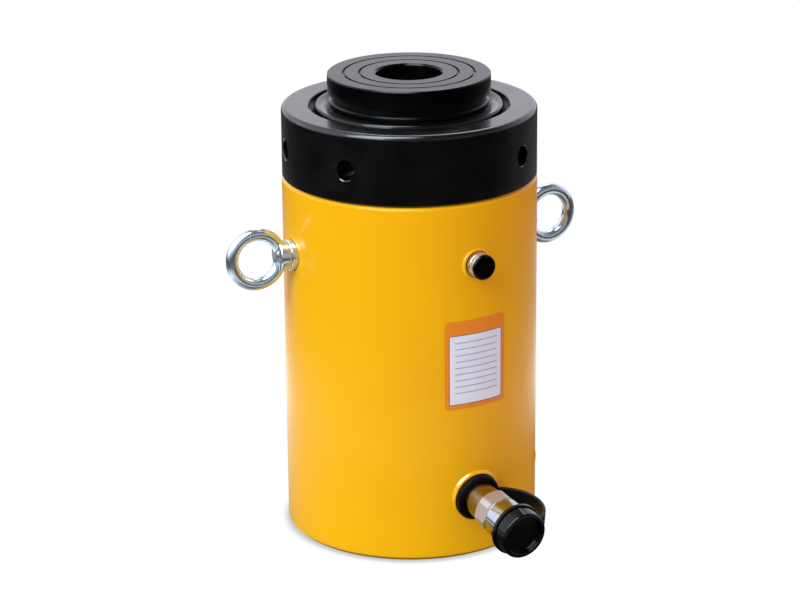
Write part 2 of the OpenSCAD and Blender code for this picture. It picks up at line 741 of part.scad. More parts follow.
module overflow_cap() {
    cap_r = overflow_cap_d / 2;
    shank_r = overflow_mouth_d / 2 - run_gap;
    low = overflow_top + run_gap;
    top = low + overflow_cap_t;
    color("black") on_side(0, overflow_z, overflow_face_r) rotate_extrude() union() {
        polygon([[0, low - overflow_cap_l], [shank_r - fine_edge, low - overflow_cap_l],
            [shank_r, low - overflow_cap_l + fine_edge], [shank_r, low], [cap_r - fine_edge, low],
            [cap_r, low + fine_edge], [cap_r, top - overflow_cap_round],
            [cap_r - overflow_cap_round, top], [0, top]]);
        intersection() {
            translate([cap_r - overflow_cap_round, top - overflow_cap_round])
                square(overflow_cap_round);
            translate([cap_r - overflow_cap_round, top - overflow_cap_round])
                circle(r = overflow_cap_round);
        }
    }
}

module coupler_adapter() {
    shank_r = port_thread_d / 2;
    neck_r = nipple_d / 2;
    end_r = nipple_end_d / 2;
    end_s = hex_s + nipple_end_l;
    oil_r = passage_d / 2 + fine_edge;
    color("silver") on_port() rotate_extrude() polygon([[oil_r, -port_thread_l],
        [shank_r - edge, -port_thread_l], [shank_r, edge - port_thread_l], [shank_r, port_seal_t],
        [neck_r, port_seal_t], [neck_r, hex_s - edge], [neck_r - edge, hex_s], [end_r, hex_s],
        [end_r, end_s], [oil_r, end_s]]);
}

module coupler_seal() {
    color("dimgray") on_port() ring(port_thread_d / 2 + fit_gap, nipple_d / 2 - fit_gap, 0, port_seal_t);
}

module coupler_body() {
    bevel = 1.6;
    bevel_h = bevel * 0.6;
    corner_r = hex_corner_d / 2;
    socket_r = poppet_seat_d / 2 + 3;
    color("silver") on_port() difference() {
        union() {
            // hexagon with its corners turned off
            intersection() {
                translate([0, 0, hex_s + fit_gap]) rotate([0, 0, 15])
                    cylinder(d = hex_af / cos(30), h = hex_l - fit_gap, $fn = 6);
                rotate_extrude() polygon([[0, hex_s], [corner_r - bevel, hex_s],
                    [corner_r, hex_s + bevel_h], [corner_r, journal_s - bevel_h],
                    [corner_r - bevel, journal_s], [0, journal_s]]);
            }
            translate([0, 0, journal_s - over]) cylinder(d = journal_d, h = nose_s - journal_s + over);
            translate([0, 0, nose_s - over]) cylinder(d = nose_d, h = nose_l + over);
        }
        // socket for the nipple, spring chamber, poppet's seat and the mouth
        translate([0, 0, hex_s - over])
            cylinder(d = nipple_end_d + 2 * fit_gap, h = chamber_s - hex_s + over);
        translate([0, 0, chamber_s - over])
            cylinder(d = chamber_d, h = seat_s - poppet_cone_l - chamber_s + over);
        translate([0, 0, seat_s - poppet_cone_l])
            cylinder(d1 = chamber_d, d2 = poppet_seat_d, h = poppet_cone_l);
        translate([0, 0, seat_s - over]) cylinder(d = poppet_seat_d, h = socket_l);
        translate([0, 0, seat_s]) cylinder(r = socket_r, h = socket_l + over);
        ring(nose_d / 2 - snap_ring_grip, nose_d, snap_ring_s, snap_ring_s + snap_ring_t + 2 * fit_gap);
    }
}

module coupler_sleeve() {
    low = journal_s + loose_gap;
    high = low + sleeve_l;
    bore = journal_d / 2 + run_gap;
    color("silver") on_port() broken_ring(bore, sleeve_d / 2, low, high);
}

module coupler_snap_ring() {
    color("gray") on_port() ring(nose_d / 2 - snap_ring_grip + fit_gap, journal_d / 2 + snap_ring_grip / 2,
        snap_ring_s + fit_gap, snap_ring_s + snap_ring_t + fit_gap);
}

module coupler_poppet() {
    guide_d = chamber_d - 4 * run_gap;
    gap = 2 * run_gap;
    nub_d = poppet_seat_d * 0.55;
    tail_l = 2;
    color("silver") on_port() union() {
        translate([0, 0, poppet_s - gap]) cylinder(d = guide_d, h = poppet_guide_l);
        translate([0, 0, poppet_s + poppet_guide_l - gap])
            cylinder(d1 = guide_d, d2 = poppet_seat_d - 4 * run_gap, h = poppet_cone_l);
        translate([0, 0, seat_s - gap - over]) cylinder(d = nub_d, h = over + socket_l * 0.7);
        translate([0, 0, poppet_s - tail_l]) cylinder(d = nub_d, h = tail_l);
    }
}

// Ring of points round the spring's wire at one step along its helix
function wire_ring(step, steps, radius, low, high, sides) =
    let (turn = 360 * spring_turns * step / steps, z = low + (high - low) * step / steps)
    [for (k = [0 : sides - 1]) let (a = 360 * k / sides, r = radius + spring_wire_d / 2 * cos(a))
        [r * cos(turn), r * sin(turn), z + spring_wire_d / 2 * sin(a)]];

module coupler_spring() {
    sides = 6;
    steps = 12 * spring_turns;
    radius = chamber_d / 2 - spring_wire_d / 2 - loose_gap;
    low = chamber_s + spring_wire_d / 2 + fit_gap;
    high = poppet_s - 2 * run_gap - spring_wire_d / 2 - fit_gap;
    points = [for (i = [0 : steps]) each wire_ring(i, steps, radius, low, high, sides)];
    walls = [for (i = [0 : steps - 1], k = [0 : sides - 1]) let (n = (k + 1) % sides)
        [i * sides + k, (i + 1) * sides + k, (i + 1) * sides + n, i * sides + n]];
    ends = [[for (k = [0 : sides - 1]) k], [for (k = [sides - 1 : -1 : 0]) steps * sides + k]];
    color("gray") on_port() polyhedron(points, concat(walls, ends), convexity = 8);
}

module dust_cap() {
    rim_r = cap_rim_d / 2;
    rim_end = cap_s + cap_rim_l;
    front_r = cap_front_d / 2;
    bore = cap_bore_d / 2;
    dish_r = cap_dish_d / 2;
    dish_s = cap_end - cap_dish_h;
    floor_s = dish_s - cap_floor_t;
    color("black") on_port() rotate_extrude() union() {
        polygon([[bore, cap_s], [rim_r - fine_edge, cap_s], [rim_r, cap_s + fine_edge],
            [rim_r, rim_end - fine_edge], [rim_r - fine_edge, rim_end], [cap_wall_d / 2, rim_end],
            [front_r, cap_end - cap_round], [front_r - cap_round, cap_end], [dish_r + edge, cap_end],
            [dish_r, cap_end - edge], [dish_r - edge, dish_s], [0, dish_s], [0, floor_s],
            [bore, floor_s]]);
        translate([front_r - cap_round, cap_end - cap_round]) circle(r = cap_round);
        translate([dish_r + edge, cap_end - edge]) circle(r = edge);
    }
}

module strap_loop() {
    color("black") on_port() broken_ring(nipple_d / 2 + loose_gap, loop_d / 2, 0, loop_t);
}

module dust_cap_strap() {
    mid_s = (strap_low_s + strap_high_s) / 2;
    start = -acos((strap_start_x - strap_centre_x) / strap_r);
    end = acos((strap_end_x - strap_centre_x) / strap_r);
    color("black") on_port() translate([strap_centre_x, -strap_drop, mid_s])
        rotate([90, 0, 0]) rotate([0, 0, start]) rotate_extrude(angle = end - start)
            translate([strap_r - strap_t / 2, -strap_w / 2]) square([strap_t, strap_w]);
}

module port_plug() {
    color("gold") on_side(plug_turn, plug_z, barrel_r) difference() {
        broken_ring(0, plug_d / 2, -plug_l, plug_proud, fine_edge);
        translate([0, 0, plug_proud - plug_socket_depth])
            cylinder(d = plug_socket_af / cos(30), h = plug_socket_depth + over, $fn = 6);
    }
}

cylinder_barrel();
base_cap();
base_cap_seal();
centre_tube();
centre_tube_seal();
centre_tube_lock_ring();
plunger();
piston_seal();
piston_backup_ring();
piston_wear_ring();
tube_seal();
tube_backup_ring();
tube_wear_ring();
tube_wiper();
lock_nut();
saddle_seat();
saddle();
saddle_retaining_ring();
left_lifting_eye();
right_lifting_eye();
lifting_eye_washers();
overflow_fitting();
overflow_seal();
overflow_cap();
coupler_adapter();
coupler_seal();
coupler_body();
coupler_sleeve();
coupler_snap_ring();
coupler_poppet();
coupler_spring();
dust_cap();
strap_loop();
dust_cap_strap();
port_plug();
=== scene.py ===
import bmesh
import bpy
import json
import math
from mathutils import Matrix, Vector


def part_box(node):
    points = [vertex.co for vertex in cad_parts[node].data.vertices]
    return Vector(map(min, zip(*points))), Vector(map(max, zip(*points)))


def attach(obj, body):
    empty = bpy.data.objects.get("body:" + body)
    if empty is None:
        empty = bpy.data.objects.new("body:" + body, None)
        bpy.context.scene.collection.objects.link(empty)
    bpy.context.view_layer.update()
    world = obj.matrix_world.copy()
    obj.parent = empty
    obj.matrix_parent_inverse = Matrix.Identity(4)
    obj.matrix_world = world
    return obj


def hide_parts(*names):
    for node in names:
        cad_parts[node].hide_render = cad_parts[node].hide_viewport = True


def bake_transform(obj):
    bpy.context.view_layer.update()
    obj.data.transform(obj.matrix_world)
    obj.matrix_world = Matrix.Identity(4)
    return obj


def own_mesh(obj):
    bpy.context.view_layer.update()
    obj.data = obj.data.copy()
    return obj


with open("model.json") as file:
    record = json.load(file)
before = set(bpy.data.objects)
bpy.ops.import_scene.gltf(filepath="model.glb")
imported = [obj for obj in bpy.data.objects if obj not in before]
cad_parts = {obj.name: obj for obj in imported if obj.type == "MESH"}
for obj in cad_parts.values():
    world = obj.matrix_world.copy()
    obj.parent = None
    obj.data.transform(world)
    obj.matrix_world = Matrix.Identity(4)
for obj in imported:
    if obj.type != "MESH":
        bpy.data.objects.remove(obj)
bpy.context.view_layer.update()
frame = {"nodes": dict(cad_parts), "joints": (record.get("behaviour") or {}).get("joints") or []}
cad = frame["nodes"]

# Barrel. A thick steel tube, turned outside and honed inside, with flat spot faces milled for its ports.
# It is sprayed with a glossy yellow enamel, which dries with the faint dimples of a thick coat
# and drifts a little in gloss where the gun passed over it.
mm = 0.001


def seen(red, green, blue):
    """A colour as a screen shows it, 0 to 255, as the linear values that a shader takes."""
    def linear(level):
        """One channel without the screen's curve."""
        share = level / 255
        return share / 12.92 if share <= 0.04045 else ((share + 0.055) / 1.055) ** 2.4
    return (linear(red), linear(green), linear(blue), 1.0)


def add(tree, kind, feeds, **settings):
    """A node with its settings, whose inputs take a value or another node's output."""
    node = tree.nodes.new(kind)
    for name, value in settings.items():
        setattr(node, name, value)
    for socket, value in feeds.items():
        if isinstance(value, bpy.types.NodeSocket):
            tree.links.new(value, node.inputs[socket])
        else:
            node.inputs[socket].default_value = value
    return node


def new_finish(name, colour, metallic, roughness, specular=0.5):
    """A material whose even values sit on the shader's own sockets, with the places that it can vary by."""
    finish = bpy.data.materials.new(name)
    finish.use_nodes = True
    tree = finish.node_tree
    shader = tree.nodes["Principled BSDF"]
    shader.inputs["Base Color"].default_value = colour
    shader.inputs["Metallic"].default_value = metallic
    shader.inputs["Roughness"].default_value = roughness
    shader.inputs["Specular IOR Level"].default_value = specular
    place = add(tree, "ShaderNodeTexCoord", {}).outputs["Object"]
    return finish, tree, shader, place


def drive(tree, shader, **sources):
    """Lets what varies over a piece feed the shader's colour, roughness or normal."""
    sockets = {"colour": "Base Color", "roughness": "Roughness", "normal": "Normal"}
    for role, source in sources.items():
        tree.links.new(source, shader.inputs[sockets[role]])


def noise(tree, place, size, detail=2.0, rough=0.5):
    """Cloudy noise with spots of about this size."""
    return add(tree, "ShaderNodeTexNoise", {"Vector": place, "Scale": 1 / size, "Detail": detail,
                                            "Roughness": rough}).outputs["Fac"]


def ramp(tree, value, start, end, low, high):
    """A value that runs from low to high between two marks, and stays level outside them."""
    return add(tree, "ShaderNodeMapRange", {"Value": value, "From Min": start, "From Max": end,
                                            "To Min": low, "To Max": high}).outputs["Result"]


def span(tree, cloud, low, high):
    """Spreads the middle of a noise over a range."""
    return ramp(tree, cloud, start=0.3, end=0.7, low=low, high=high)


def blend_colours(tree, share, first, second):
    """One colour turning into another."""
    mix = add(tree, "ShaderNodeMix", {"Factor": share, "A": first, "B": second}, data_type="RGBA")
    return mix.outputs[2]


def mottled(tree, cloud, first, second):
    """A colour that drifts to another with a noise."""
    return blend_colours(tree, span(tree, cloud, 0, 1), first, second)


def bump(tree, height, depth, strength, under=None):
    """A relief of this depth, on top of another relief if one is given."""
    feeds = {"Height": height, "Distance": depth, "Strength": strength}
    if under is not None:
        feeds["Normal"] = under
    return add(tree, "ShaderNodeBump", feeds).outputs["Normal"]


def dress(finish, *names):
    """Gives CAD nodes their finish."""
    for name in names:
        cad[name].data.materials.clear()
        cad[name].data.materials.append(finish)


enamel, tree, shader, place = new_finish("yellow_enamel", seen(245, 186, 0), metallic=0.0, roughness=0.24,
                                         specular=0.25)
drift = noise(tree, place, size=60 * mm)
peel = noise(tree, place, size=2.4 * mm, detail=1.0)
dust = noise(tree, place, size=0.5 * mm, detail=3.0, rough=0.6)
dimples = bump(tree, peel, depth=0.06 * mm, strength=0.25)
drive(tree, shader,
      colour=mottled(tree, drift, seen(246, 188, 0), seen(244, 184, 0)),
      roughness=span(tree, drift, low=0.21, high=0.27),
      normal=bump(tree, dust, depth=0.01 * mm, strength=0.12, under=dimples))
dress(enamel, "cylinder_barrel", "port_plug")

# Base cap with its O-ring. A turned steel disc, screwed up into the barrel's foot with a pin spanner.
# It is blackened in a hot oxide bath, which leaves the fine rings of the turning tool in view.
# The O-ring is black nitrile rubber and seals the cap in the bore.
def calc(tree, operation, first, second):
    """Two numbers worked into one."""
    return add(tree, "ShaderNodeMath", {0: first, 1: second}, operation=operation).outputs[0]


def turned_finish(name, dark, light, pitch, cut, roughness, metallic=0.0, specular=0.5):
    """Steel from a lathe, with its tool's rings on the faces and lines round the walls."""
    finish, tree, shader, place = new_finish(name, dark, metallic, roughness, specular)
    shader.inputs["Anisotropic"].default_value = 0.6
    shader.inputs["Anisotropic Rotation"].default_value = 0.25
    around = add(tree, "ShaderNodeTangent", {}, direction_type="RADIAL", axis="Z").outputs[0]
    tree.links.new(around, shader.inputs["Tangent"])
    split = add(tree, "ShaderNodeSeparateXYZ", {"Vector": place}).outputs
    outward = add(tree, "ShaderNodeCombineXYZ", {"X": split["X"], "Y": split["Y"]}).outputs[0]
    radius = add(tree, "ShaderNodeVectorMath", {0: outward}, operation="LENGTH").outputs["Value"]
    travel = calc(tree, "ADD", radius, split["Z"])
    feed = add(tree, "ShaderNodeCombineXYZ", {"X": travel}).outputs[0]
    lines = noise(tree, feed, size=pitch, detail=4.0, rough=0.7)
    cloud = noise(tree, place, size=18 * mm, detail=3.0)
    worn = calc(tree, "ADD", span(tree, lines, low=-0.03, high=0.03),
                span(tree, cloud, low=roughness - 0.03, high=roughness + 0.04))
    drive(tree, shader, colour=mottled(tree, cloud, dark, light), roughness=worn,
          normal=bump(tree, lines, depth=cut, strength=0.25))
    return finish


black_oxide = turned_finish("black_oxide", seen(5, 5, 6), seen(8, 8, 9), pitch=0.35 * mm, cut=0.003 * mm,
                            roughness=0.2, specular=0.6)
rubber, tree, shader, place = new_finish("nitrile_rubber", seen(5, 5, 6), metallic=0.0, roughness=0.45,
                                         specular=0.2)
grain = noise(tree, place, size=0.25 * mm, detail=3.0, rough=0.7)
bloom = noise(tree, place, size=6 * mm)
drive(tree, shader,
      colour=mottled(tree, bloom, seen(4, 4, 5), seen(7, 7, 8)),
      roughness=span(tree, grain, low=0.38, high=0.52),
      normal=bump(tree, grain, depth=0.03 * mm, strength=0.3))
dress(black_oxide, "base_cap")
dress(rubber, "base_cap_seal")

# Centre tube, its O-ring and snap ring. The tube is ground and honed steel with a flange at its foot.
# The flange sits up in the base cap's counterbore, where a flat snap ring holds it from below.
# The tube guides the plunger inside and leaves the way through the cylinder open.
ground_steel = turned_finish("ground_steel", seen(150, 150, 148), seen(172, 172, 170), pitch=0.25 * mm,
                             cut=0.008 * mm, roughness=0.28, metallic=1.0)
dress(ground_steel, "centre_tube", "centre_tube_lock_ring")
dress(rubber, "centre_tube_seal")

# Plunger. A hollow steel ram with its piston head in one piece, nitrided to a dark grey skin.
# Its outside carries a right-hand trapezoidal thread over the whole stroke for the lock nut,
# cut on a lathe, with flat crests and a short run-out at each end.
def tree_inputs(name, inputs):
    """An empty Geometry Nodes tree with named sizes, and its group input and output."""
    tree = bpy.data.node_groups.new(name, "GeometryNodeTree")
    tree.interface.new_socket("Geometry", in_out="OUTPUT", socket_type="NodeSocketGeometry")
    for label in inputs:
        tree.interface.new_socket(label, in_out="INPUT", socket_type="NodeSocketFloat")
    return tree, tree.nodes.new("NodeGroupInput"), tree.nodes.new("NodeGroupOutput")


def close_tree(tree, out, geometry, finish):
    """Ends a tree with real geometry in its finish."""
    solid = add(tree, "GeometryNodeRealizeInstances", {"Geometry": geometry}).outputs[0]
    done = add(tree, "GeometryNodeSetMaterial", {"Geometry": solid, "Material": finish}).outputs[0]
    tree.links.new(done, out.inputs[0])


def carried(mesh):
    """A passing object that holds a mesh while modifiers work on it."""
    holder = bpy.data.objects.new("holder", mesh)
    bpy.context.scene.collection.objects.link(holder)
    return holder


def worked(holder):
    """The mesh that a passing object's modifiers make, after which the object goes."""
    depsgraph = bpy.context.evaluated_depsgraph_get()
    mesh = bpy.data.meshes.new_from_object(holder.evaluated_get(depsgraph))
    bpy.data.objects.remove(holder)
    return mesh


def grow(tree, sizes):
    """The mesh that a Geometry Nodes tree makes with these sizes."""
    holder = carried(bpy.data.meshes.new("holder"))
    modifier = holder.modifiers.new("grow", "NODES")
    modifier.node_group = tree
    for item in tree.interface.items_tree:
        if item.in_out == "INPUT" and item.name in sizes:
            modifier[item.identifier] = sizes[item.name]
    return worked(holder)


def spiral(tree, turns, height, radius, steps):
    """A helix round the upright axis, with this many steps to a turn."""
    return add(tree, "GeometryNodeCurveSpiral", {"Resolution": steps, "Rotations": turns, "Height": height,
                                                 "Start Radius": radius, "End Radius": radius}).outputs[0]


def helix_tree(name, finish):
    """A bar of four-sided section wound into a right-hand helix that fades out at both ends."""
    tree, sizes, out = tree_inputs(name, ["Radius", "Pitch", "Start", "End", "Foot", "Crest", "Depth"])
    size = sizes.outputs
    rise = calc(tree, "SUBTRACT", size["End"], size["Start"])
    turns = calc(tree, "DIVIDE", rise, size["Pitch"])
    path = spiral(tree, turns, rise, size["Radius"], steps=96)
    lift = add(tree, "ShaderNodeCombineXYZ", {"Z": size["Start"]}).outputs[0]
    path = add(tree, "GeometryNodeTransform", {"Geometry": path, "Translation": lift}).outputs[0]
    path = add(tree, "GeometryNodeSetCurveNormal", {"Curve": path}, mode="Z_UP").outputs[0]
    bar = add(tree, "GeometryNodeCurvePrimitiveQuadrilateral", {
        "Bottom Width": size["Foot"], "Top Width": size["Crest"], "Height": size["Depth"], "Offset": 0.0},
        mode="TRAPEZOID").outputs[0]
    where = add(tree, "GeometryNodeSplineParameter", {}).outputs["Factor"]
    fade = add(tree, "ShaderNodeFloatCurve", {"Value": where})
    run_out, tip = 0.015, 0.05
    marks = fade.mapping.curves[0].points
    marks[0].location = (0.0, tip)
    marks[1].location = (1.0, tip)
    for share in (run_out, 1 - run_out):
        marks.new(share, 1.0)
    wound = add(tree, "GeometryNodeCurveToMesh", {"Curve": path, "Profile Curve": bar, "Fill Caps": True,
                                                  "Scale": fade.outputs[0]}).outputs[0]
    close_tree(tree, out, wound, finish)
    return tree


def as_piece(name, mesh, body=None, node=None):
    """Puts a finished mesh in the scene, on the body that it moves with and for the node that it replaces."""
    piece = bpy.data.objects.new(name, mesh)
    bpy.context.scene.collection.objects.link(piece)
    if body:
        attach(piece, body)
    if node:
        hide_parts(node)
    return piece


def merged(*meshes):
    """Several meshes as one, with their doubled points joined."""
    shape = bmesh.new()
    for mesh in meshes:
        shape.from_mesh(mesh)
    bmesh.ops.remove_doubles(shape, verts=shape.verts, dist=0.0005 * mm)
    return shape


def as_mesh(shape, name):
    """Turns a bmesh into a mesh."""
    mesh = bpy.data.meshes.new(name)
    shape.to_mesh(mesh)
    shape.free()
    return mesh


def closed_mesh(shape, name, finish, crease=30):
    """Turns a bmesh into a smooth-shaded mesh that keeps its hard edges."""
    mesh = as_mesh(shape, name)
    mesh.materials.append(finish)
    mesh.shade_smooth()
    mesh.set_sharp_from_angle(angle=math.radians(crease))
    return mesh


nitrided = turned_finish("dark_plunger", seen(8, 8, 9), seen(12, 12, 13), pitch=0.3 * mm, cut=0.004 * mm,
                         roughness=0.17, specular=0.3)
thread_pitch = 6 * mm
thread_depth = 3 * mm
thread_foot = 3.9 * mm
thread_flat = 2.2 * mm
thread_crest = 62.5 * mm
thread_core = thread_crest - thread_depth
crest_slack = 0.02 * mm
wiper_land = 2.7 * mm
top_land = 9.5 * mm
piston_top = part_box("tube_wiper")[1].z + wiper_land
thread_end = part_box("plunger")[1].z - top_land
shape = merged(cad["plunger"].data)
for point in shape.verts:
    radius = point.co.xy.length
    if abs(radius - thread_crest) < crest_slack:
        point.co.xy *= thread_core / radius
core = as_mesh(shape, "core")
winding = grow(helix_tree("thread", nitrided), {
    "Radius": thread_core + thread_depth / 2, "Pitch": thread_pitch, "Start": piston_top + thread_pitch,
    "End": thread_end, "Foot": thread_foot, "Crest": thread_flat, "Depth": thread_depth})
as_piece("plunger_threaded", closed_mesh(merged(core, winding), "plunger_threaded", nitrided),
         body="plunger", node="plunger")

# Seals and guide rings of the piston. The two pressure seals are polyurethane lips with backup rings,
# the wear rings are fabric-filled plastic strips, and a wiper keeps dirt off the centre tube.
# They snap into grooves of the piston head and move with it.
def moulded_finish(name, dark, light, roughness, specular=0.5):
    """Moulded plastic or rubber with a fine skin."""
    finish, tree, shader, place = new_finish(name, dark, 0.0, roughness, specular)
    skin = noise(tree, place, size=0.3 * mm, detail=3.0, rough=0.6)
    cloud = noise(tree, place, size=5 * mm)
    drive(tree, shader, colour=mottled(tree, cloud, dark, light),
          roughness=span(tree, skin, low=roughness - 0.05, high=roughness + 0.05),
          normal=bump(tree, skin, depth=0.02 * mm, strength=0.2))
    return finish


seal_polyurethane = moulded_finish("seal_polyurethane", seen(34, 92, 104), seen(40, 104, 116), roughness=0.4)
bearing_plastic = moulded_finish("bearing_plastic", seen(140, 104, 66), seen(158, 120, 80), roughness=0.5)
dress(seal_polyurethane, "piston_seal", "tube_seal", "tube_wiper")
dress(bearing_plastic, "piston_backup_ring", "piston_wear_ring", "tube_backup_ring", "tube_wear_ring")

# Lock nut. A heavy ring of alloy steel, threaded on to the plunger and run down on to the barrel's head.
# Five blind holes round its side take a tommy bar. It is turned all over and blackened like the base cap,
# with an oiled satin sheen on its top and a soft rounded upper edge.
dress(black_oxide, "lock_nut")

# Saddle and its seat. The seat ring is ground to a hollow ball shape and drops into the plunger's top.
# The blackened saddle rocks in it on a ball-shaped underside, with a neck and a snap ring below.
# Two grooves turned into its face give the load some grip.
oiled_oxide = turned_finish("oiled_oxide", seen(4, 4, 5), seen(7, 7, 8), pitch=0.35 * mm, cut=0.003 * mm,
                            roughness=0.18, specular=0.15)
dress(oiled_oxide, "saddle")
dress(ground_steel, "saddle_seat", "saddle_retaining_ring")

# Overflow port. A zinc-plated fitting on a bonded washer, screwed in where the piston seal ends its stroke.
# Oil weeps out here when the plunger goes too far, and a black cap pushed into its mouth keeps dirt out.
# The enamel lies thick and very glossy on the raised rim round the port's spot face.
def plated_finish(name, bright, dull, metallic, roughness):
    """Bright plating over forged or turned steel, with faint clouds and a slightly rolling surface."""
    finish, tree, shader, place = new_finish(name, bright, metallic, roughness)
    cloud = noise(tree, place, size=5 * mm, detail=3.0, rough=0.6)
    speck = noise(tree, place, size=0.4 * mm)
    rolling = bump(tree, cloud, depth=0.12 * mm, strength=0.2)
    drive(tree, shader, colour=mottled(tree, cloud, bright, dull),
          roughness=span(tree, cloud, low=roughness - 0.05, high=roughness + 0.06),
          normal=bump(tree, speck, depth=0.008 * mm, strength=0.2, under=rolling))
    return finish


satin_zinc = plated_finish("satin_zinc", seen(230, 233, 240), seen(210, 213, 221), metallic=0.95,
                           roughness=0.32)
bonded_seal = moulded_finish("bonded_seal", seen(14, 14, 15), seen(20, 20, 21), roughness=0.4)
black_plastic = moulded_finish("black_plastic", seen(3, 3, 4), seen(5, 5, 6), roughness=0.12, specular=0.3)
dress(satin_zinc, "overflow_fitting")
dress(bonded_seal, "overflow_seal")
dress(black_plastic, "overflow_cap")
thick_enamel, tree, shader, place = new_finish("thick_enamel", seen(246, 188, 0), metallic=0.0,
                                               roughness=0.09, specular=0.9)
runs = noise(tree, place, size=3 * mm)
drive(tree, shader,
      colour=mottled(tree, runs, seen(247, 190, 0), seen(244, 185, 0)),
      normal=bump(tree, runs, depth=0.05 * mm, strength=0.2))


def spun(profile, place, closed):
    """A body turned from an outline of radii and heights, about the axis of a place."""
    shape = bmesh.new()
    steps = 96
    rings = []
    for radius, height in profile:
        turns = [2 * math.pi * step / steps for step in range(steps if radius else 1)]
        spots = [Vector((radius * math.cos(turn), radius * math.sin(turn), height)) for turn in turns]
        rings.append([shape.verts.new(place @ spot) for spot in spots])
    nexts = rings[1:] + rings[:1] if closed else rings[1:]
    for ring, after in zip(rings, nexts):
        for step in range(steps):
            corners = (ring[step % len(ring)], ring[(step + 1) % len(ring)],
                       after[(step + 1) % len(after)], after[step % len(after)])
            shape.faces.new(list(dict.fromkeys(corners)))
    bmesh.ops.recalc_face_normals(shape, faces=shape.faces)
    return shape


def enamel_flare(name, place, spot_radius, width, depth):
    """The thick enamel that rounds off the raised rim of a spot face and runs down to the barrel."""
    rim_height = 1.5 * mm
    rim_flat = 0.5 * mm
    rim_gap = 0.05 * mm
    steps = 10
    inner = spot_radius + rim_gap
    profile = [(inner, rim_height - depth), (inner, rim_height)]
    for step in range(steps + 1):
        share = step / steps
        profile.append((inner + rim_flat + width * share,
                        rim_height - depth * (1 - math.cos(math.pi * share)) / 2))
    mesh = closed_mesh(spun(profile, place, closed=True), name, thick_enamel, crease=50)
    return as_piece(name, mesh, body="cylinder")


overflow_spot = 9 * mm
seal_low, seal_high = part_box("overflow_seal")
overflow = Matrix.Translation((0, seal_high.y, (seal_low.z + seal_high.z) / 2)) @ Matrix.Rotation(
    math.pi / 2, 4, "X")
enamel_flare("overflow_flare", overflow, overflow_spot, width=1.7 * mm, depth=2.0 * mm)

# Lifting eyes and washers. Drop-forged eye bolts with a round ring, a flared neck and a flat collar.
# Each screws into the barrel over a thick washer, and is zinc plated to a bright silver.
# The forging leaves soft blends where the ring runs into the neck.
def forged(node, finish, grain_size, passes):
    """A copy of a node with its inner seams melted into soft blends."""
    holder = carried(as_mesh(merged(cad[node].data), "holder"))
    skin = holder.modifiers.new("skin", "REMESH")
    skin.mode = "VOXEL"
    skin.voxel_size = grain_size
    melt = holder.modifiers.new("melt", "SMOOTH")
    melt.factor = 0.5
    melt.iterations = passes
    mesh = worked(holder)
    mesh.name = node + "_forged"
    mesh.materials.clear()
    mesh.materials.append(finish)
    mesh.shade_smooth()
    return mesh


bright_zinc = plated_finish("bright_zinc", seen(216, 233, 242), seen(199, 214, 223), metallic=0.88,
                            roughness=0.18)
for side in ("left", "right"):
    node = side + "_lifting_eye"
    as_piece(node + "_forged", forged(node, bright_zinc, grain_size=0.4 * mm, passes=6),
             body="cylinder", node=node)
dress(bright_zinc, "lifting_eye_washers")

# Coupler. A nickel-plated nipple is screwed into the port over a bonded washer and carries the female half.
# The half has a hexagon with its corners turned nearly round, a polished sleeve that turns, and inside it
# a steel poppet that a small wire spring holds on its seat.
sleeve_turn = next(joint for joint in frame["joints"] if joint["name"] == "coupler_sleeve_turn")
port_axis = Vector(sleeve_turn["axis"])
sleeve_middle = 39.55 * mm
port_face = Vector(sleeve_turn["pos_m"]) - sleeve_middle * port_axis
port_side = Vector((1, 0, 0))
port_up = port_axis.cross(port_side)
port = Matrix.Translation(port_face) @ Matrix((port_side, port_up, port_axis)).transposed().to_4x4()


def along(tree, place, direction):
    """How far a place lies in a direction."""
    return add(tree, "ShaderNodeVectorMath", {0: place, 1: direction},
               operation="DOT_PRODUCT").outputs["Value"]


def port_metal(name, bright, dull, metallic, roughness, cut):
    """Nickel plate on a piece that was turned about the port's axis, with rings of this depth."""
    finish, tree, shader, place = new_finish(name, bright, metallic, roughness)
    feed = add(tree, "ShaderNodeCombineXYZ", {"X": along(tree, place, port_axis)}).outputs[0]
    rings = noise(tree, feed, size=0.7 * mm, detail=3.0, rough=0.6)
    cloud = noise(tree, place, size=4 * mm, detail=3.0, rough=0.6)
    drive(tree, shader, colour=mottled(tree, cloud, bright, dull),
          roughness=span(tree, cloud, low=roughness - 0.03, high=roughness + 0.04),
          normal=bump(tree, rings, depth=cut, strength=0.4))
    return finish


turned_nickel = port_metal("turned_nickel", seen(160, 148, 142), seen(138, 128, 122), metallic=1.0,
                           roughness=0.18, cut=0.18 * mm)
brushed_nickel = port_metal("brushed_nickel", seen(202, 205, 213), seen(184, 187, 195), metallic=0.88,
                            roughness=0.36, cut=0.08 * mm)
polished_nickel = port_metal("polished_nickel", seen(176, 182, 194), seen(160, 166, 178), metallic=1.0,
                             roughness=0.1, cut=0.006 * mm)
coupler_spot = 15.8 * mm
enamel_flare("coupler_flare", port, coupler_spot, width=2.2 * mm, depth=2.7 * mm)
dress(turned_nickel, "coupler_adapter")
dress(polished_nickel, "coupler_sleeve")
dress(ground_steel, "coupler_snap_ring", "coupler_poppet")
dress(bonded_seal, "coupler_seal")


def turned_down(node, finish, outline):
    """A copy of a node with its corners turned off to an outline of radii and places along the port."""
    work = carried(as_mesh(merged(cad[node].data), "holder"))
    cutter = carried(as_mesh(spun(outline, port, closed=False), "holder"))
    turning = work.modifiers.new("turning", "BOOLEAN")
    turning.operation = "INTERSECT"
    turning.solver = "EXACT"
    turning.object = cutter
    mesh = worked(work)
    bpy.data.objects.remove(cutter)
    mesh.materials.clear()
    return closed_mesh(merged(mesh), node + "_turned", finish, crease=20)


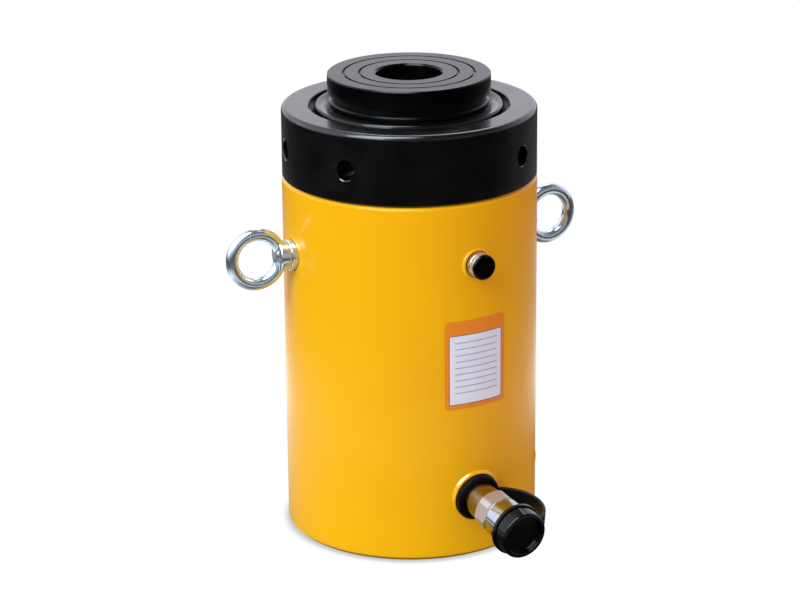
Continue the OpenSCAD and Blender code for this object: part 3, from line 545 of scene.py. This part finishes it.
hex_low = 20.3 * mm
hex_high = 32.3 * mm
hex_corner = 13.7 * mm
hex_bevel = 1.0 * mm
body_radius = 12.7 * mm
body_end = 80 * mm
body_outline = [
    (0, hex_low), (hex_corner - hex_bevel, hex_low), (hex_corner, hex_low + hex_bevel),
    (hex_corner, hex_high - hex_bevel), (body_radius, hex_high), (body_radius, body_end), (0, body_end)]
as_piece("coupler_body_turned", turned_down("coupler_body", brushed_nickel, body_outline),
         body="cylinder", node="coupler_body")


def swept_tree(name, finish, inputs, make_path, make_section):
    """A section swept along a path, each made by a function from the tree's named sizes."""
    tree, sizes, out = tree_inputs(name, inputs)
    swept = add(tree, "GeometryNodeCurveToMesh", {
        "Curve": make_path(tree, sizes.outputs), "Profile Curve": make_section(tree, sizes.outputs),
        "Fill Caps": True}).outputs[0]
    close_tree(tree, out, swept, finish)
    return tree


def coil_path(tree, size):
    """The line of a spring's wire."""
    return spiral(tree, size["Turns"], size["Height"], size["Radius"], steps=40)


def wire_section(tree, size):
    """The round of a wire."""
    return add(tree, "GeometryNodeCurvePrimitiveCircle", {
        "Resolution": 12, "Radius": size["Wire"]}).outputs[0]


spring_radius = 5.6 * mm
spring_wire = 0.6 * mm
spring_turns = 4.0
spring_low = 29.5 * mm
spring_high = 39.75 * mm
spring_tree = swept_tree("spring", ground_steel, ["Radius", "Wire", "Turns", "Height"],
                         coil_path, wire_section)
coil = grow(spring_tree, {"Radius": spring_radius, "Wire": spring_wire, "Turns": spring_turns,
                          "Height": spring_high - spring_low})
coil.transform(port @ Matrix.Translation((0, 0, spring_low)))
spring = as_piece("coupler_coil_spring", closed_mesh(merged(coil), "coupler_coil_spring", ground_steel),
                  body="cylinder", node="coupler_spring")
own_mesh(spring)

# Dust cap, loop and strap. The cap is moulded in black plastic with a rim at its rear and a dished front.
# A rubber loop sits round the nipple against the barrel, and a flat rubber strap ties the cap to it,
# so that the cap hangs there when it is pulled off.
strap_low = 2.35 * mm
strap_high = 48.5 * mm
strap_bow = 15 * mm
strap_root = 16.2 * mm
strap_drop = 2 * mm
strap_sunk = 0.8 * mm
strap_thickness = 2.4 * mm
strap_width = 10 * mm
strap_edge = 0.6 * mm
loop_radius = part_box("strap_loop")[1].x
rim_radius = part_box("dust_cap")[1].x
strap_half = (strap_high - strap_low) / 2
strap_radius = (strap_half ** 2 + strap_bow ** 2) / (2 * strap_bow)
strap_centre = strap_root + strap_bow - strap_radius
strap_start = -math.acos((loop_radius - strap_sunk - strap_centre) / strap_radius)
strap_end = math.acos((rim_radius - strap_sunk - strap_centre) / strap_radius)


def strap_path(tree, size):
    """The strap's bow, an arc."""
    return add(tree, "GeometryNodeCurveArc", {
        "Resolution": 48, "Radius": size["Radius"], "Start Angle": size["Start"],
        "Sweep Angle": size["Sweep"]}, mode="RADIUS").outputs[0]


def strap_section(tree, size):
    """The strap's flat section with its long edges rounded."""
    flat = add(tree, "GeometryNodeCurvePrimitiveQuadrilateral", {
        "Width": size["Thickness"], "Height": size["Width"]}, mode="RECTANGLE").outputs[0]
    return add(tree, "GeometryNodeFilletCurve", {"Curve": flat, "Count": 4, "Radius": size["Edge"],
                                                 "Limit Radius": True}, mode="POLY").outputs[0]


strap_tree = swept_tree("strap", rubber, ["Radius", "Start", "Sweep", "Thickness", "Width", "Edge"],
                        strap_path, strap_section)
band = grow(strap_tree, {"Radius": strap_radius, "Start": strap_start, "Sweep": strap_end - strap_start,
                         "Thickness": strap_thickness, "Width": strap_width, "Edge": strap_edge})
band.transform(port @ Matrix.Translation((strap_centre, -strap_drop, (strap_low + strap_high) / 2))
               @ Matrix.Rotation(math.pi / 2, 4, "X"))
strap = as_piece("dust_cap_flat_strap", closed_mesh(merged(band), "dust_cap_flat_strap", rubber),
                 node="dust_cap_strap")
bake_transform(strap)
dress(black_plastic, "dust_cap")
dress(rubber, "strap_loop")

# Sticker. A blank vinyl label with round corners, pressed on to the barrel above the coupler.
# It has an orange border, broad at the top, a thin dark line inside it and a pale field with grey rules.
# The print is matt and a little cloudy, as printed vinyl is.
sticker_width = 45 * mm
sticker_height = 59 * mm
sticker_corner = 3 * mm
sticker_thickness = 0.12 * mm
sticker_glue = 0.02 * mm
sticker_middle = 132 * mm
corner_steps = 6
middle_steps = 24
barrel_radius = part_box("cylinder_barrel")[1].x


def on_barrel(across, up, proud):
    """A place over the barrel's side, measured along its skin from the line above the coupler."""
    turn = across / barrel_radius
    reach = barrel_radius + proud
    return Vector((reach * math.sin(turn), -reach * math.cos(turn), up))


flat = sticker_width / 2 - sticker_corner
columns = []
for step in range(corner_steps + 1):
    angle = math.pi / 2 * step / corner_steps
    columns.append((-flat - sticker_corner * math.cos(angle),
                    sticker_height / 2 - sticker_corner * (1 - math.sin(angle))))
middles = [(flat * (2 * step / middle_steps - 1), sticker_height / 2) for step in range(1, middle_steps)]
columns += middles + [(-across, half) for across, half in reversed(columns)]
shape = bmesh.new()
posts = []
for across, half in columns:
    posts.append([shape.verts.new(on_barrel(across, sticker_middle + side * half, proud))
                  for proud in (sticker_thickness, sticker_glue) for side in (-1, 1)])
for left, right in zip(posts, posts[1:]):
    for low, high in ((0, 1), (1, 3), (3, 2), (2, 0)):
        shape.faces.new((left[low], right[low], right[high], left[high]))
for post in (posts[0], posts[-1]):
    shape.faces.new((post[0], post[1], post[3], post[2]))
bmesh.ops.recalc_face_normals(shape, faces=shape.faces)
print_map = shape.loops.layers.uv.new("print")
for face in shape.faces:
    for loop in face.loops:
        across = barrel_radius * math.atan2(loop.vert.co.x, -loop.vert.co.y)
        loop[print_map].uv = (across / sticker_width + 0.5,
                              (loop.vert.co.z - sticker_middle) / sticker_height + 0.5)
border = 2.9 * mm
top_border = 9.5 * mm
key_line = 0.4 * mm
rule_margin = 4 * mm
rule_pitch = 4.2 * mm
rule_weight = 0.5 * mm
orange = seen(240, 142, 8)
pale = seen(234, 248, 255)
pale_shade = seen(226, 240, 248)
line_ink = seen(46, 42, 40)
rule_ink = seen(150, 150, 160)


def between(tree, value, low, high):
    """A stripe with clean printed edges."""
    soft = 0.12 * mm
    rise = ramp(tree, value, start=low - soft, end=low + soft, low=0.0, high=1.0)
    fall = ramp(tree, value, start=high - soft, end=high + soft, low=1.0, high=0.0)
    return calc(tree, "MULTIPLY", rise, fall)


def panel(tree, sheet, inset):
    """A printed rectangle that lies this far inside the sticker's border."""
    side = border + inset
    return calc(tree, "MULTIPLY", between(tree, sheet["X"], side, sticker_width - side),
                between(tree, sheet["Y"], side, sticker_height - top_border - inset))


vinyl, tree, shader, place = new_finish("sticker_vinyl", pale, metallic=0.0, roughness=0.42)
unrolled = add(tree, "ShaderNodeUVMap", {}, uv_map="print").outputs[0]
unrolled = add(tree, "ShaderNodeVectorMath", {0: unrolled, 1: (sticker_width, sticker_height, 0)},
               operation="MULTIPLY").outputs[0]
sheet = add(tree, "ShaderNodeSeparateXYZ", {"Vector": unrolled}).outputs
cloud = noise(tree, place, size=8 * mm, detail=3.0)
row = calc(tree, "MODULO", sheet["Y"], rule_pitch)
rules = calc(tree, "MULTIPLY", panel(tree, sheet, rule_margin),
             between(tree, row, rule_pitch / 2, rule_pitch / 2 + rule_weight))
ink = blend_colours(tree, panel(tree, sheet, 0), orange, line_ink)
ink = blend_colours(tree, panel(tree, sheet, key_line), ink, mottled(tree, cloud, pale, pale_shade))
ink = blend_colours(tree, rules, ink, rule_ink)
drive(tree, shader, colour=ink, roughness=span(tree, cloud, low=0.38, high=0.46))
as_piece("blank_sticker", closed_mesh(shape, "blank_sticker", vinyl), body="cylinder")

# Studio. The lens sees a floor and a backdrop of pure white, with a small painted contact shadow round the
# foot.
# The floor glows as painted bounce light, darkened at the foot, and what the object mirrors is darker: a
# floor with a painted pale ring and a painted pale left side, painted shade close to the object, and a
# backdrop with glows above it. A large softbox stands on the left and a small lamp behind, and a long lens
# looks down.
view_turn = math.radians(-30.4)
view_pitch = math.radians(18.654)
view_roll = -0.008
focal_pixels = 2869.2
picture_pixels = 800
sensor = 36


def in_view(right, away, up):
    """A place given to the right of, away from and above the foot, as the camera faces it."""
    return Matrix.Rotation(view_turn, 4, "Z") @ Vector((right, away, up))


camera_place = in_view(-6.813 * mm, -1782.52 * mm, 751.9 * mm)
camera_data = bpy.data.cameras.new("camera")
camera_data.lens = focal_pixels * sensor / picture_pixels
camera_data.sensor_width = sensor
camera = bpy.data.objects.new("camera", camera_data)
bpy.context.scene.collection.objects.link(camera)
camera.matrix_world = (Matrix.Translation(camera_place)
                       @ Matrix.Rotation(view_turn, 4, "Z")
                       @ Matrix.Rotation(math.pi / 2 - view_pitch, 4, "X")
                       @ Matrix.Rotation(view_roll, 4, "Z"))
bpy.context.scene.camera = camera


def by_ray(tree, to_lens, ambient, mirrored):
    """Light with one value for the lens, one for diffuse rays and one for mirrored rays."""
    path = add(tree, "ShaderNodeLightPath", {}).outputs
    unseen = blend_colours(tree, path["Is Glossy Ray"], ambient, mirrored)
    return blend_colours(tree, path["Is Camera Ray"], unseen, to_lens)


def times(tree, first, second):
    """Two lights multiplied."""
    return add(tree, "ShaderNodeMix", {"Factor": 1.0, "A": first, "B": second}, data_type="RGBA",
               blend_type="MULTIPLY").outputs[2]


def plus(tree, first, second):
    """Two lights added."""
    return add(tree, "ShaderNodeMix", {"Factor": 1.0, "A": first, "B": second}, data_type="RGBA",
               blend_type="ADD").outputs[2]


ambient = (0.63, 0.405, 0.50, 1)
floor_bounce = (0.66, 0.56, 0.58, 1)
foot_bounce = (0.76, 0.69, 0.6, 1)
mirror_tint = (0.95, 0.97, 1.05, 1)
lens_white = (1, 1, 1, 1)
contact_reach = 7 * mm
floor_half = 6.0
floor_drop = 0.05 * mm
floor_finish = bpy.data.materials.new("floor_white_painted_shadow")
floor_finish.use_nodes = True
floor_finish.cycles.emission_sampling = "NONE"
tree = floor_finish.node_tree
tree.nodes.clear()
place = add(tree, "ShaderNodeTexCoord", {}).outputs["Object"]
spread = add(tree, "ShaderNodeVectorMath", {0: place}, operation="LENGTH").outputs["Value"]
# Painted light for mirrored rays: the floor glows pale behind the object, on its left side where the softbox
# would light it and in a ring round it, with painted shade close to the object.
back = along(tree, place, in_view(0.3, 1, 0))
behind = times(tree, ramp(tree, back, start=0.0, end=0.8, low=0.02, high=0.8),
               ramp(tree, spread, start=0.5, end=0.85, low=1.0, high=0.12))
left_side = along(tree, place, in_view(-0.8, 0.4, 0))
left = times(tree, ramp(tree, left_side, start=-0.02, end=0.2, low=0.0, high=0.9),
             ramp(tree, spread, start=0.16, end=0.4, low=1.0, high=0.0))
left_back = along(tree, place, in_view(-0.3, 0.95, 0))
flank = times(tree, ramp(tree, left_back, start=0.33, end=0.42, low=0.0, high=0.25),
              ramp(tree, spread, start=0.55, end=0.75, low=1.0, high=0.0))
ring = times(tree, ramp(tree, spread, start=0.18, end=0.31, low=0.04, high=1.0),
             ramp(tree, spread, start=0.29, end=0.5, low=1.0, high=0.0))
painted_floor_light_and_shade = plus(tree, plus(tree, left, flank), ring)
# Painted contact shadow: occlusion within a few millimetres of the foot darkens the floor's white for the
# lens.
contact = add(tree, "ShaderNodeAmbientOcclusion", {"Distance": contact_reach}, samples=12).outputs["AO"]
floor_white_painted_shadow = ramp(tree, contact, start=0.45, end=0.9, low=0.6, high=1.0)
# Painted bounce light for diffuse rays: the floor glows brighter and more neutral near the foot, as if the
# softbox lit it there, and occlusion paints shade into it right at the foot.
bounce = blend_colours(tree, ramp(tree, spread, start=0.1, end=0.45, low=0.0, high=1.0),
                       foot_bounce, floor_bounce)
shaded = times(tree, bounce, ramp(tree, contact, start=0.45, end=0.95, low=0.1, high=1.0))
light = by_ray(tree, floor_white_painted_shadow, shaded, plus(tree, behind, painted_floor_light_and_shade))
glow = add(tree, "ShaderNodeEmission", {"Color": light}).outputs[0]
add(tree, "ShaderNodeOutputMaterial", {"Surface": glow})
floor_mesh = bpy.data.meshes.new("floor")
floor_mesh.from_pydata([(-floor_half, -floor_half, 0), (floor_half, -floor_half, 0),
                        (floor_half, floor_half, 0), (-floor_half, floor_half, 0)], [], [(0, 1, 2, 3)])
floor_mesh.materials.append(floor_finish)
floor = bpy.data.objects.new("floor", floor_mesh)
floor.location.z = -floor_drop
bpy.context.scene.collection.objects.link(floor)

world = bpy.data.worlds.new("studio")
bpy.context.scene.world = world
world.use_nodes = True
world.cycles.sampling_method = "NONE"
tree = world.node_tree
tree.nodes.clear()
heading = add(tree, "ShaderNodeTexCoord", {}).outputs["Generated"]
backdrop = times(tree, ramp(tree, along(tree, heading, in_view(0.15, 1, 0)), start=0.0, end=0.8,
                            low=0.4, high=1.3),
                 ramp(tree, along(tree, heading, Vector((0, 0, 1))), start=0.35, end=0.8,
                      low=1.0, high=0.25))
umbrella = ramp(tree, along(tree, heading, in_view(-0.8, 0.0, 0.6)), start=0.65, end=0.88, low=0.0, high=1.3)
overhead = ramp(tree, along(tree, heading, in_view(-0.22, -0.27, 0.935)), start=0.93, end=0.98,
                low=0.0, high=11.0)
mirrored = times(tree, plus(tree, plus(tree, backdrop, umbrella), overhead), mirror_tint)
light = by_ray(tree, lens_white, ambient, mirrored)
glow = add(tree, "ShaderNodeBackground", {"Color": light}).outputs[0]
add(tree, "ShaderNodeOutputWorld", {"Surface": glow})


def soft_lamp(name, place, aim, width, height, power, colour):
    """A softbox that points at a place."""
    lamp = bpy.data.lights.new(name, "AREA")
    lamp.shape = "RECTANGLE"
    lamp.size = width
    lamp.size_y = height
    lamp.energy = power
    lamp.color = colour
    stand = bpy.data.objects.new(name, lamp)
    stand.location = place
    stand.rotation_euler = (aim - place).to_track_quat("-Z", "Y").to_euler()
    bpy.context.scene.collection.objects.link(stand)


lamp_aim = Vector((0, 0, 150 * mm))
soft_lamp("key_lamp", in_view(-1.55, -1.75, 2.0), lamp_aim, width=1.7, height=1.5, power=66,
          colour=(0.82, 1.0, 1.05))
soft_lamp("rim_lamp", in_view(0.2, 1.5, 1.75), lamp_aim, width=0.9, height=0.7, power=9,
          colour=(1.0, 1.0, 1.0))
bpy.context.scene.view_settings.view_transform = "Standard"
